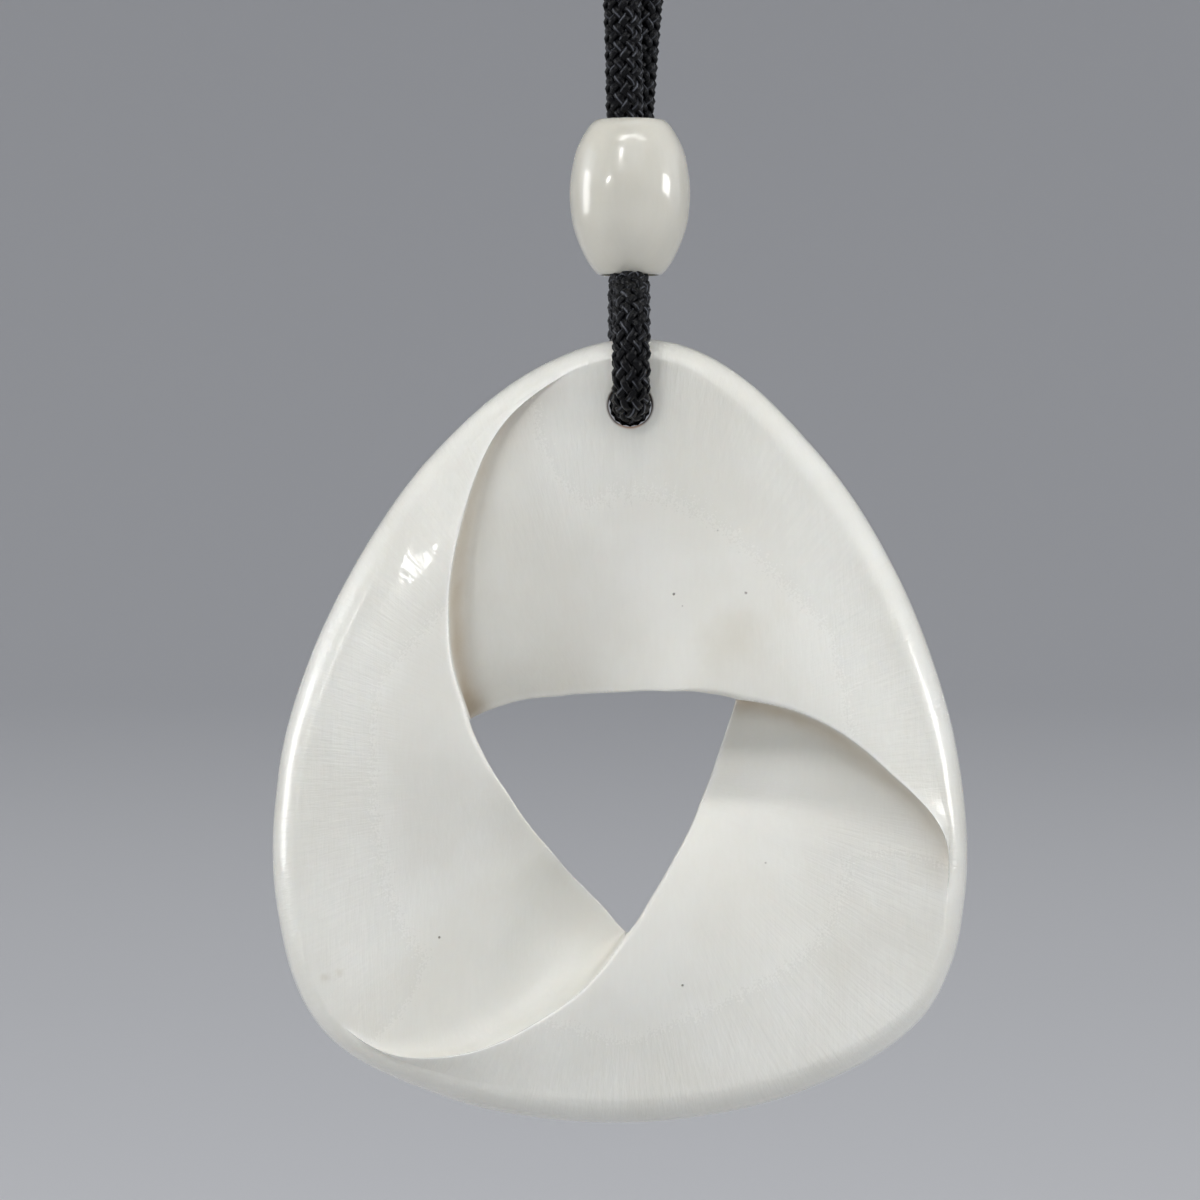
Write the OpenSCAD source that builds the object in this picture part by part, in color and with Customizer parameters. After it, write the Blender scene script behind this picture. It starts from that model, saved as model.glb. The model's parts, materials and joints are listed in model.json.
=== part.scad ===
// Bone twist pendant with its barrel bead and its black braided neck cord, in millimetres.
// The origin is at the nape, where the knot of the cord rests on the back of the neck.
// +Z is up, the front of the pendant faces -Y, and the whole loop hangs as it is worn.

/* [Pendant] */
// Height of the pendant
pendant_h = 40; // [37:1:43]
// Thickness of the pendant from front ridges to back ridges
ridge_t = 6; // [5.4:0.2:6.4]
// Thickness of the rim where its rounding starts
rim_t = 3.4; // [3:0.1:3.6]
// Width of the rounding along the rim
rim_round = 1; // [0.6:0.1:1.1]
// Thickness of each blade at the opening
edge_t = 0.8; // [0.6:0.1:1]
// Diameter of the hole for the cord
hole_d = 2.6; // [2.5:0.05:2.8]

/* [Bead] */
// Length of the bead
bead_l = 7.9; // [7:0.1:8.4]
// Largest diameter of the bead
bead_d = 6.15; // [5.8:0.05:7]
// Diameter of the bead's flat ends
bead_end_d = 3.7; // [3.6:0.05:4]
// Radius between the bead's side and its ends
bead_round = 0.9; // [0.6:0.1:1]
// Bore that the two strands share
bead_bore_d = 3.3; // [3.3:0.05:3.5]

/* [Cord] */
// Diameter of the braided cord
cord_d = 2; // [1.8:0.05:2]

/* [Knot] */
// Diameter of the barrel knot at the nape
knot_d = 5.6; // [5:0.1:6]
// Length of the barrel knot
knot_l = 6.6; // [6:0.1:7]

/* [Hidden] */

// Where the cord hole is, below and in front of the nape
hole_at = [0, -130, -240];
// Lower end of the bead above the cord hole
bead_lift = 6.65;
// Height of the pendant for which the radii below are given
drawn_h = 40;
grow = pendant_h / drawn_h;
// Centre of the three blades from the cord hole, to the left and down
centre_from_hole = [-0.25, -18.75];

// The pendant is three blades round an opening, each passing over the one before it.
// Angles are counter-clockwise as seen from the front, from +X.
// Corners of the opening, where one blade starts and the one before it ends
CORNER_DEG = [34, 160.5, 270, 394];
// Where along the rim each blade's end slips under the next one's ridge
SLIP_DEG = [98, 222, 339];

// Outer edge of the pendant: angle, radius
OUTLINE = [
    [0, 17.1], [20, 16.7], [40, 17.4], [60, 19.2], [80, 21.85], [90, 22.15], [100, 21.4],
    [120, 19.1], [140, 17.5], [160, 17.1], [180, 17.65], [190, 18.2], [200, 18.9],
    [220, 20.15], [240, 18.85], [260, 17.9], [280, 17.8], [300, 18.5], [320, 19.55],
    [330, 19.2], [340, 18.4], [360, 17.1],
];
// Radius of the opening: share of the way along a blade, top blade, left blade, lower blade
OPENING = [
    [0, 6.85, 8.35, 8.1],
    [0.1, 5.75, 7.1, 6.1],
    [0.25, 4.65, 5.9, 4.7],
    [0.5, 4.2, 5.4, 4.1],
    [0.75, 5.1, 6, 4.65],
    [0.9, 6.8, 6.9, 5.65],
    [1, 8.35, 8.1, 6.85],
];
// Ridges: share of a blade from the corner, then the ridge's place from the opening (0)
// to the rim (1) for the upper left, lower and right ridge
RIDGE = [
    [0, 0, 0, 0],
    [0.1, 0.365, 0.365, 0.305],
    [0.2, 0.62, 0.62, 0.555],
    [0.3, 0.8, 0.845, 0.76],
    [0.4, 0.955, 0.975, 0.97],
    [0.5, 1, 1, 1],
];

// Mesh of the pendant: sections in half a blade, steps across a face and round the rim
HALF_STEPS = 14;
FACE_STEPS = 8;
RIM_STEPS = 6;
// How fast the foot of a ridge's wall sinks towards the corner
SINK_POWER = 1.6;

// Smooth curve through rows of [place, value, value, ...], read in one column
function slope(rows, column, i) =
    let (a = max(i - 1, 0), b = min(i + 1, len(rows) - 1))
    (rows[b][column] - rows[a][column]) / (rows[b][0] - rows[a][0]);
function smooth_at(rows, column, place, i = 0) =
    i < len(rows) - 2 && place > rows[i + 1][0] ? smooth_at(rows, column, place, i + 1) :
    let (
        span = rows[i + 1][0] - rows[i][0],
        s = (place - rows[i][0]) / span,
        from = rows[i][column],
        to = rows[i + 1][column]
    )
    from * (1 + 2 * s) * pow(1 - s, 2) + to * s * s * (3 - 2 * s)
        + span * slope(rows, column, i) * s * pow(1 - s, 2)
        - span * slope(rows, column, i + 1) * s * s * (1 - s);

// The outline's rows carried past both ends, so that the curve closes smoothly
OUTLINE_RING = concat([OUTLINE[len(OUTLINE) - 2] - [360, 0]], OUTLINE, [OUTLINE[1] + [360, 0]]);
function outline_r(deg) = grow * smooth_at(OUTLINE_RING, 1, (deg + 360) % 360);
function opening_r(blade, share) = grow * smooth_at(OPENING, blade + 1, share);

// Front heights above the middle plane. x is the distance from a corner, as a share of a blade.
ridge_z = ridge_t / 2;
rim_z = rim_t / 2;
// A blade's inner edge falls from the front face at its start to the back at its end
function edge_z(share) = edge_t / 2 + (ridge_z - edge_t / 2) * cos(180 * share);
// A ridge rises from the rim to the corner, and the foot of its wall sinks
function crest_z(x) = rim_z + (ridge_z - rim_z) * (1 - pow(2 * x, 2));
function foot_z(x) = rim_z - (rim_z + ridge_z - edge_t) * pow(1 - 2 * x, SINK_POWER);
// A vertex on each wall meets the next blade's edge at the corner
wall_share = edge_t / (2 * ridge_z - edge_t);

// Points [radius, height] across one face, from one place to another
function face_points(from, to) = [for (q = [0:FACE_STEPS]) from + (to - from) * q / FACE_STEPS];
function plain_side(inner, shoulder, x) = face_points([inner, edge_z(x)], [shoulder, rim_z]);
function split_side(inner, shoulder, x, junction) =
    let (
        r = inner + (shoulder - inner) * smooth_at(RIDGE, junction + 1, x),
        crest = crest_z(x),
        foot = foot_z(x)
    )
    concat(
        face_points([inner, edge_z(1 - x)], [r, foot]),
        [[r, crest - wall_share * (crest - foot)]],
        face_points([r, crest], [shoulder, rim_z])
    );
function rim_points(shoulder) = [
    for (k = [1:RIM_STEPS - 1])
        let (a = 90 - 180 * k / RIM_STEPS)
        [shoulder + rim_round * cos(a), rim_z * sin(a)]
];
function backed(side) = [for (k = [len(side) - 1:-1:0]) [side[k][0], -side[k][1]]];

// A section through the pendant at one angle: the ridge is on the front before a corner
// and on the back after it
function section(blade, x, before) =
    let (
        corner = before ? CORNER_DEG[blade + 1] : CORNER_DEG[blade],
        deg = corner + (SLIP_DEG[blade] - corner) * 2 * x,
        inner = opening_r(blade, before ? 1 - x : x),
        shoulder = outline_r(deg) - rim_round,
        junction = before ? blade : (blade + 2) % 3,
        split = split_side(inner, shoulder, x, junction),
        plain = plain_side(inner, shoulder, x),
        loop = concat(before ? split : plain, rim_points(shoulder), backed(before ? plain : split))
    )
    [for (p = loop) tidy([p[0] * cos(deg), -p[1], p[0] * sin(deg)])];
function tidy(p) = [for (v = p) round(v * 10000) / 10000];

SECTIONS = [
    for (blade = [0:2], before = [false, true], i = [0:HALF_STEPS])
        section(blade, (before ? HALF_STEPS - i : i) / HALF_STEPS / 2, before)
];
LOOP = len(SECTIONS[0]);
POINTS = [for (s = SECTIONS, p = s) p];
function distinct(face) =
    POINTS[face[0]] != POINTS[face[1]] && POINTS[face[1]] != POINTS[face[2]]
    && POINTS[face[2]] != POINTS[face[0]];
FACES = [
    for (half = [0:5], i = [0:HALF_STEPS - 1], k = [0:LOOP - 1])
        let (
            a = (half * (HALF_STEPS + 1) + i) * LOOP,
            b = a + LOOP,
            next = (k + 1) % LOOP
        )
        for (face = [[a + k, b + next, a + next], [a + k, b + k, b + next]])
            if (distinct(face)) face
];

// Route of the cord from the middle of the hole: [x, y, z, share of the full depth].
// Both halves run the same way up, the front one before the pendant and the back one behind.
FRONT_STRAND = [
    [0.05, -1.3, 0, 1], [0.05, -2.3, 0.25, 1], [0.05, -3, 0.95, 1], [0.05, -3.25, 1.9, 1],
    [0.05, -3.25, 2.9, 1], [0.05, -3.05, 3.9, 1], [0.05, -2.4, 4.9, 1], [0.05, -1.55, 5.8, 0.9],
    [0, -0.9, 6.6, 0.72], [-0.05, -0.74, 7.4, 0.7], [-0.25, -0.74, 14, 0.7],
    [-0.26, -0.85, 14.8, 0.8], [-0.28, -0.98, 16, 1],
    [-0.36, -0.98, 19.5, 1], [-0.7, -0.9, 25, 1], [-1.5, -0.6, 32, 1],
];
BACK_STRAND = [
    [0, 1.3, 0, 1], [-0.05, 2.3, 0.25, 1], [-0.1, 3, 0.95, 1], [-0.15, 3.25, 1.9, 1],
    [-0.15, 3.25, 2.9, 1], [-0.15, 3.05, 3.9, 1], [-0.15, 2.4, 4.9, 1], [-0.15, 1.55, 5.8, 0.9],
    [-0.1, 0.9, 6.6, 0.72], [-0.05, 0.74, 7.4, 0.7], [0.25, 0.74, 14, 0.7],
    [0.27, 0.85, 14.8, 0.8], [0.35, 0.98, 16, 1],
    [0.62, 0.94, 19.5, 1], [1.2, 0.85, 25, 1], [2.2, 0.6, 32, 1],
];
// Route of one side from the nape, in [x, y, z], from the chest up and round the neck
SIDE_RUN = [
    [3.8, -129.6, -200], [7, -128.8, -189], [11.3, -127.7, -178], [16.1, -126.1, -167],
    [21, -124.2, -156], [26, -121.9, -144.7], [31, -119, -133.5], [36, -115.3, -122.2],
    [41, -110.6, -111], [45, -106, -102], [49, -100.5, -93], [53, -94, -84],
    [56.5, -87, -75.5], [59.5, -79.5, -67], [61.5, -71.5, -58.5], [62.5, -63, -50],
    [62.5, -54.5, -42], [61.5, -46, -34.5], [58.5, -37, -27], [54, -28.5, -20.5],
    [48, -20.5, -14.5], [40.5, -13, -9.5], [31.5, -6.5, -5.5], [21.5, -1.5, -2.5],
    [11.5, 1.8, -0.5],
];
knot_y = knot_d / 2;
cord_end = [knot_l / 2, knot_y, 0];

function mirrored(p) = [-p[0], p[1], p[2]];
function raised(row) = concat(hole_at + [row[0], row[1], row[2]], [row[3]]);
LEFT_ROUTE = concat(
    [for (row = FRONT_STRAND) raised(row)],
    [for (p = SIDE_RUN) concat(mirrored(p), [1])],
    [concat(mirrored(cord_end), [1])]
);
RIGHT_ROUTE = concat(
    [for (row = BACK_STRAND) raised(row)],
    [for (p = SIDE_RUN) concat(p, [1])],
    [concat(cord_end, [1])]
);
function flipped(list) = [for (k = [len(list) - 1:-1:0]) list[k]];
ROUTE = concat(flipped(LEFT_ROUTE), RIGHT_ROUTE);
MIDDLE = len(LEFT_ROUTE);

// Direction of the cord at each point of its route, straight along the knot at both ends
function unit(v) = v / norm(v);
function place(i) = [ROUTE[i][0], ROUTE[i][1], ROUTE[i][2]];
function heading(i) =
    i == 0 || i == len(ROUTE) - 1 ? [-1, 0, 0] :
    unit(unit(place(i + 1) - place(i)) + unit(place(i) - place(i - 1)));
// A sideways vector carried along from the hole both ways, so that the tube never twists
function carried(headings) = [
    for (
        i = 0, v = [1, 0, 0];
        i < len(headings);
        i = i + 1, v = i < len(headings) ? unit(v - (v * headings[i]) * headings[i]) : v
    ) v
];
HEADINGS = [for (i = [0:len(ROUTE) - 1]) heading(i)];
SIDEWAYS = concat(
    flipped(carried([for (i = [MIDDLE - 1:-1:0]) HEADINGS[i]])),
    carried([for (i = [MIDDLE:len(ROUTE) - 1]) HEADINGS[i]])
);
TUBE_SIDES = 8;

module twist_pendant() {
    color("ivory") translate(hole_at) difference() {
        translate([centre_from_hole[0] * grow, 0, centre_from_hole[1] * grow])
            polyhedron(POINTS, FACES, convexity = 8);
        rotate([90, 0, 0]) cylinder(d = hole_d, h = 2 * ridge_t, center = true, $fn = 48);
    }
}

// Barrel with arcs along its sides, rounded shoulders and flat ends
module barrel_bead() {
    half = bead_l / 2;
    end_r = bead_end_d / 2;
    fillet_z = half - bead_round;
    // The shoulder is a little narrower than it is tall
    fillet_w = 0.75 * bead_round;
    bulge = bead_d / 2 - end_r - fillet_w;
    arc_r = (fillet_z * fillet_z + bulge * bulge) / (2 * bulge);
    arc_deg = asin(fillet_z / arc_r);
    arc_steps = 8;
    fillet_steps = 5;
    side = [
        for (k = [-arc_steps:arc_steps])
            let (a = arc_deg * k / arc_steps)
            [bead_d / 2 - arc_r + arc_r * cos(a), arc_r * sin(a)]
    ];
    upper = [
        for (k = [1:fillet_steps])
            let (a = 90 * k / fillet_steps)
            [end_r + fillet_w * cos(a), fillet_z + bead_round * sin(a)]
    ];
    lower = [for (k = [fillet_steps:-1:1]) [upper[k - 1][0], -upper[k - 1][1]]];
    color("ivory") translate(hole_at + [0, 0, bead_lift + half]) difference() {
        rotate_extrude($fn = 64) polygon(concat([[0, -half]], lower, side, upper, [[0, half]]));
        cylinder(d = bead_bore_d, h = bead_l + 1, center = true, $fn = 48);
    }
}

// The braided cord, one tube from the knot down to the pendant, through it and back
module neck_cord() {
    points = [
        for (i = [0:len(ROUTE) - 1], k = [0:TUBE_SIDES - 1])
            let (
                a = 360 * (k + 0.5) / TUBE_SIDES,
                across = SIDEWAYS[i],
                deep = cross(HEADINGS[i], across),
                deep_r = cord_d / 2 * ROUTE[i][3]
            )
            place(i) + across * cos(a) * cord_d / 2 + deep * sin(a) * deep_r
    ];
    walls = [
        for (i = [0:len(ROUTE) - 2], k = [0:TUBE_SIDES - 1])
            let (a = i * TUBE_SIDES, b = a + TUBE_SIDES, next = (k + 1) % TUBE_SIDES)
            for (face = [[a + k, b + k, b + next], [a + k, b + next, a + next]]) face
    ];
    last = (len(ROUTE) - 1) * TUBE_SIDES;
    caps = [
        [for (k = [0:TUBE_SIDES - 1]) k],
        [for (k = [TUBE_SIDES - 1:-1:0]) last + k]
    ];
    color("black") polyhedron(points, concat(walls, caps), convexity = 10);
}

// Barrel knot that closes the cord, three turns side by side on a core
module nape_knot() {
    turns = 3;
    // The turns press into each other by this share of their thickness
    pressed = 1.05;
    turn_r = pressed * knot_l / (2 * turns);
    ring_r = knot_d / 2 - turn_r;
    pitch = (knot_l - 2 * turn_r) / (turns - 1);
    color("black") translate([0, knot_y, 0]) rotate([0, 90, 0]) {
        for (k = [0:turns - 1])
            translate([0, 0, (k - (turns - 1) / 2) * pitch])
                rotate_extrude($fn = 48) translate([ring_r, 0]) circle(r = turn_r, $fn = 32);
        cylinder(r = ring_r, h = knot_l, center = true, $fn = 48);
    }
}

twist_pendant();
barrel_bead();
neck_cord();
nape_knot();
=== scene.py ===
"""Looks of the bone twist pendant: carved and polished bone, a turned bone bead and a braided cord."""

import json
import math

import bpy
import numpy as np
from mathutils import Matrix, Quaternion, Vector

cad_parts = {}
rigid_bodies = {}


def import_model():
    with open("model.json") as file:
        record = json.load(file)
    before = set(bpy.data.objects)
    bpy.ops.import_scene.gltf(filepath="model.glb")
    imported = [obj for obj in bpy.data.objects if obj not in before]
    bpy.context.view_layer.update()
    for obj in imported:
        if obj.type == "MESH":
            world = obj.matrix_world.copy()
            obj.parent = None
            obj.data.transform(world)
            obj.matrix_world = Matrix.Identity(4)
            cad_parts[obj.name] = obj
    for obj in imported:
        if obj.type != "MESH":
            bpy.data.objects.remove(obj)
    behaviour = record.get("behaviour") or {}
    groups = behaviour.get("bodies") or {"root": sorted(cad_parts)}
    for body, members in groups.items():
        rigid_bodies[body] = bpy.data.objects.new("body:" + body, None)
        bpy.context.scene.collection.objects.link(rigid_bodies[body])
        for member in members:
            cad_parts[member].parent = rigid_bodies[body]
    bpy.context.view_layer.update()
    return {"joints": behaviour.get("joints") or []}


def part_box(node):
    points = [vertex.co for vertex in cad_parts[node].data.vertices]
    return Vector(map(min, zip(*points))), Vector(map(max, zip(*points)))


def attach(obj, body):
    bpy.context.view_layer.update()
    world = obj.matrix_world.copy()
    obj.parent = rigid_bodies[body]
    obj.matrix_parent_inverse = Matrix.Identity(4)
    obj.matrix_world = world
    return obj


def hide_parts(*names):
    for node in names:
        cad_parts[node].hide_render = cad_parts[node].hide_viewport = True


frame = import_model()

MM = 0.001
HOLE_AT = np.array(frame["joints"][0]["pos_m"])
PENDANT_LOW, PENDANT_HIGH = (np.array(corner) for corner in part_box("twist_pendant"))
BEAD_LOW, BEAD_HIGH = (np.array(corner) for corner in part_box("barrel_bead"))
KNOT_LOW, KNOT_HIGH = (np.array(corner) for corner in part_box("nape_knot"))


# Camera

# The photograph's middle and width at the pendant's plane, from the cord hole
IMAGE_CENTRE = HOLE_AT + np.array([-1.52, 0, -9.86]) * MM
IMAGE_WIDTH = 60.96 * MM
LENS_MM = 200
SENSOR_MM = 36


def make_camera():
    """A long lens square on to the pendant's face."""
    data = bpy.data.cameras.new("product_camera")
    data.lens = LENS_MM
    data.sensor_width = SENSOR_MM
    data.clip_start = 10 * MM
    camera = bpy.data.objects.new("product_camera", data)
    stand_off = IMAGE_WIDTH * LENS_MM / SENSOR_MM
    camera.location = IMAGE_CENTRE + np.array([0, -stand_off, 0])
    camera.rotation_euler = (math.radians(90), 0, 0)
    bpy.context.scene.collection.objects.link(camera)
    bpy.context.scene.camera = camera


make_camera()


# Route of the cord

# Both strands in millimetres, from the cord hole up: [x, y, z, share of the full depth]
FRONT_STRAND = [
    [0.02, -1.3, 0.03, 1], [0.05, -2.3, 0.2, 1], [0.05, -3, 0.95, 1], [0.05, -3.25, 1.9, 1],
    [0.05, -3.25, 2.9, 1], [0.05, -3.05, 3.9, 1], [0.05, -2.4, 4.9, 1], [0.05, -1.55, 5.8, 0.9],
    [0, -0.9, 6.6, 0.72], [-0.05, -0.74, 7.4, 0.7], [-0.25, -0.74, 14, 0.7],
    [-0.26, -0.85, 14.8, 0.8], [-0.28, -0.98, 16, 1],
    [-0.36, -0.98, 19.5, 1], [-0.7, -0.9, 25, 1], [-1.5, -0.6, 32, 1],
]
BACK_STRAND = [
    [0, 1.3, 0.03, 1], [-0.05, 2.3, 0.2, 1], [-0.1, 3, 0.95, 1], [-0.15, 3.25, 1.9, 1],
    [-0.15, 3.25, 2.9, 1], [-0.15, 3.05, 3.9, 1], [-0.15, 2.4, 4.9, 1], [-0.15, 1.55, 5.8, 0.9],
    [-0.1, 0.9, 6.6, 0.72], [-0.05, 0.74, 7.4, 0.7], [0.25, 0.74, 14, 0.7],
    [0.27, 0.85, 14.8, 0.8], [0.35, 0.98, 16, 1],
    [0.62, 0.94, 19.5, 1], [1.2, 0.85, 25, 1], [2.2, 0.6, 32, 1],
]
# One side from the chest up to the nape, in millimetres from the nape: [x, y, z]
SIDE_RUN = [
    [3.8, -129.6, -200], [7, -128.8, -189], [11.3, -127.7, -178], [16.1, -126.1, -167],
    [21, -124.2, -156], [26, -121.9, -144.7], [31, -119, -133.5], [36, -115.3, -122.2],
    [41, -110.6, -111], [45, -106, -102], [49, -100.5, -93], [53, -94, -84],
    [56.5, -87, -75.5], [59.5, -79.5, -67], [61.5, -71.5, -58.5], [62.5, -63, -50],
    [62.5, -54.5, -42], [61.5, -46, -34.5], [58.5, -37, -27], [54, -28.5, -20.5],
    [48, -20.5, -14.5], [40.5, -13, -9.5], [31.5, -6.5, -5.5], [21.5, -1.5, -2.5],
    [11.5, 1.8, -0.5],
]


# Nodes written as sums

class Field:
    """A number or vector that a node works out, so that a rule reads as it does on paper."""

    def __init__(self, tree, socket):
        self.tree = tree
        self.socket = socket

    def __add__(self, other):
        return calc(self.tree, "ADD", self, other)

    def __radd__(self, other):
        return calc(self.tree, "ADD", other, self)

    def __sub__(self, other):
        return calc(self.tree, "SUBTRACT", self, other)

    def __rsub__(self, other):
        return calc(self.tree, "SUBTRACT", other, self)

    def __mul__(self, other):
        return calc(self.tree, "MULTIPLY", self, other)

    def __rmul__(self, other):
        return calc(self.tree, "MULTIPLY", other, self)

    def __truediv__(self, other):
        return calc(self.tree, "DIVIDE", self, other)

    def __rtruediv__(self, other):
        return calc(self.tree, "DIVIDE", other, self)

    def __pow__(self, other):
        return calc(self.tree, "POWER", self, other)


def feed(tree, socket, value):
    """Links a field, socket or node to an input, or sets the input to a plain value."""
    if isinstance(value, Field):
        value = value.socket
    if isinstance(value, bpy.types.NodeSocket):
        tree.links.new(value, socket)
    else:
        socket.default_value = value


def add(tree, kind, inputs=(), **settings):
    """Adds a node, with its settings and with inputs given by name or number."""
    node = tree.nodes.new(kind)
    for name, value in settings.items():
        setattr(node, name, value)
    for key, value in dict(inputs).items():
        feed(tree, node.inputs[key], value)
    return node


def calc(tree, operation, *values):
    """One step of arithmetic on numbers."""
    node = add(tree, "ShaderNodeMath", enumerate(values), operation=operation)
    return Field(tree, node.outputs[0])


def vector_calc(tree, operation, *values, result="Vector", scale=None):
    """One step of arithmetic on vectors."""
    node = add(tree, "ShaderNodeVectorMath", enumerate(values), operation=operation)
    if scale is not None:
        feed(tree, node.inputs["Scale"], scale)
    return Field(tree, node.outputs[result])


def vector_of(tree, x, y, z):
    return Field(tree, add(tree, "ShaderNodeCombineXYZ", {0: x, 1: y, 2: z}).outputs[0])


def parts_of(tree, vector):
    """The x, y and z of a vector."""
    node = add(tree, "ShaderNodeSeparateXYZ", {0: vector})
    return [Field(tree, socket) for socket in node.outputs]


def scaled(tree, vector, factor):
    return vector_calc(tree, "SCALE", vector, scale=factor)


def added(tree, first, second):
    return vector_calc(tree, "ADD", first, second)


def distance(tree, first, second):
    return vector_calc(tree, "DISTANCE", first, second, result="Value")


def named_value(tree, name, kind="FLOAT"):
    """What the points of a mesh or curve carry under a name."""
    node = add(tree, "GeometryNodeInputNamedAttribute", {"Name": name}, data_type=kind)
    return Field(tree, node.outputs["Attribute"])


def store(tree, geometry, name, value, kind="FLOAT", domain="POINT"):
    """Writes a value on a geometry under a name."""
    node = add(tree, "GeometryNodeStoreNamedAttribute", {
        "Geometry": geometry, "Name": name, "Value": value,
    }, data_type=kind, domain=domain)
    return node.outputs[0]


def smallest(tree, *values):
    least = values[0]
    for value in values[1:]:
        least = calc(tree, "MINIMUM", least, value)
    return least


def ramp(tree, place, first, steps):
    """Rises from 0 to 1 over some steps, and stays there."""
    node = add(tree, "ShaderNodeClamp", {"Value": (place - first) / steps})
    return Field(tree, node.outputs[0])


def new_group(name, kind, inputs, outputs):
    """A node group with named sockets. Gives the group, its input fields and its output node."""
    tree = bpy.data.node_groups.new(name, kind)
    for socket_name, socket_type, default in inputs:
        socket = tree.interface.new_socket(socket_name, in_out="INPUT", socket_type=socket_type)
        if default is not None:
            socket.default_value = default
    for socket_name, socket_type in outputs:
        tree.interface.new_socket(socket_name, in_out="OUTPUT", socket_type=socket_type)
    source = tree.nodes.new("NodeGroupInput")
    fields = {key: Field(tree, source.outputs[key]) for key, _, _ in inputs}
    return tree, fields, tree.nodes.new("NodeGroupOutput")


def run_tree(name, guide, tree, values, body, nodes):
    """Runs a geometry tree on a guide mesh and keeps the result as a plain mesh on a body."""
    carrier = bpy.data.objects.new(name + "_guide", guide)
    bpy.context.scene.collection.objects.link(carrier)
    modifier = carrier.modifiers.new(tree.name, "NODES")
    modifier.node_group = tree
    sockets = tree.interface.items_tree
    keys = {item.name: item.identifier for item in sockets if item.in_out == "INPUT"}
    for key, value in values.items():
        modifier[keys[key]] = value
    evaluated = carrier.evaluated_get(bpy.context.evaluated_depsgraph_get())
    mesh = bpy.data.meshes.new_from_object(evaluated)
    carrier.modifiers.clear()
    bpy.data.objects.remove(carrier)
    keep_piece(name, mesh, body, nodes)


def keep_piece(name, mesh, body, nodes):
    """A finished piece at the origin, on its body, in place of its CAD nodes."""
    mesh.name = name
    piece = bpy.data.objects.new(name, mesh)
    bpy.context.scene.collection.objects.link(piece)
    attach(piece, body)
    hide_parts(*nodes)


def guide_mesh(name, points, attributes, joined):
    """Points, joined into a line or loose, with named numbers or vectors on them."""
    mesh = bpy.data.meshes.new(name)
    edges = [(i, i + 1) for i in range(len(points) - 1)] if joined else []
    mesh.from_pydata([tuple(map(float, p)) for p in points], edges, [])
    for key, values in attributes.items():
        values = np.asarray(values, dtype=np.float32)
        kind, field = ("FLOAT_VECTOR", "vector") if values.ndim == 2 else ("FLOAT", "value")
        mesh.attributes.new(key, kind, "POINT").data.foreach_set(field, values.ravel())
    return mesh


def turned(profile, sides, middle, closed):
    """Points and faces of a profile of [radius, height], turned about the upright through a point."""
    points = [
        (middle[0] + r * math.cos(a), middle[1] + r * math.sin(a), middle[2] + z)
        for a in np.linspace(0, math.tau, sides, endpoint=False) for r, z in profile
    ]
    count = len(profile)
    faces = []
    for i in range(sides):
        here, there = i * count, (i + 1) % sides * count
        for k in range(count if closed else count - 1):
            after = (k + 1) % count
            faces.append((here + k, there + k, there + after, here + after))
    return points, faces


def smooth_mesh(name, points, faces, material):
    mesh = bpy.data.meshes.new(name)
    mesh.from_pydata(points, [], faces)
    mesh.polygons.foreach_set("use_smooth", [True] * len(faces))
    mesh.materials.append(material)
    return mesh


# Smooth tables

def smooth_at(rows, column, place):
    """Smooth curve through rows of [place, value, value, ...], read in one column."""
    rows = np.array(rows, dtype=float)
    place = np.asarray(place, dtype=float)
    ahead = np.minimum(np.arange(len(rows)) + 1, len(rows) - 1)
    behind = np.maximum(np.arange(len(rows)) - 1, 0)
    value = rows[:, column]
    slope = (value[ahead] - value[behind]) / (rows[ahead, 0] - rows[behind, 0])
    i = np.clip(np.searchsorted(rows[:, 0], place, side="left") - 1, 0, len(rows) - 2)
    span = rows[i + 1, 0] - rows[i, 0]
    s = (place - rows[i, 0]) / span
    return (
        value[i] * (1 + 2 * s) * (1 - s) ** 2 + value[i + 1] * s * s * (3 - 2 * s)
        + span * slope[i] * s * (1 - s) ** 2 - span * slope[i + 1] * s * s * (1 - s)
    )


# The carved twist

# Three blades lie round an opening, and each passes over the one before it. The tables below are
# drawn for a pendant of this height.
DRAWN_HEIGHT = 40 * MM
GROW = (PENDANT_HIGH[2] - PENDANT_LOW[2]) / DRAWN_HEIGHT
# The middle that all angles and radii are measured from
CENTRE_FROM_HOLE = np.array([-0.25, 0, -18.75]) * MM
RIM_THICKNESS = 3.4 * MM
RIM_ROUNDING = 1 * MM
RIM_WIDENING = 0.55 * MM
RIM_POWER = 1.2
EDGE_THICKNESS = 0.8 * MM
EDGE_ROUND = 0.14 * MM
CREST_ROUND = 0.4 * MM
# Bulge of the blades outside a ridge and their hollow inside it, in shares of their width
CROWN = 0.065
HOLLOW = 0.03
# Unevenness of hand work: how high it is and how far apart
WAVINESS = 0.05 * MM
WAVE_LENGTH = 5 * MM
HOLE_DIAMETER = 2.2 * MM
HOLE_CHAMFER = 0.06 * MM
# How far both faces stand from the middle plane at the hole
FRONT_AT_HOLE = 1.59 * MM
BACK_AT_HOLE = 1.35 * MM
DRILL_SIDES = 64
# Length of the countersink, and how much narrower than the hole it starts
SINK_LENGTH = 1.2 * MM
SINK_OVERLAP = 0.05 * MM

# Corners of the opening, and where along the rim each blade's end slips under the next ridge.
# Angles are counter-clockwise from +X, as seen from the front.
CORNER_DEG = [34, 160.5, 270, 394]
SLIP_DEG = [98, 222, 339]
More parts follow.
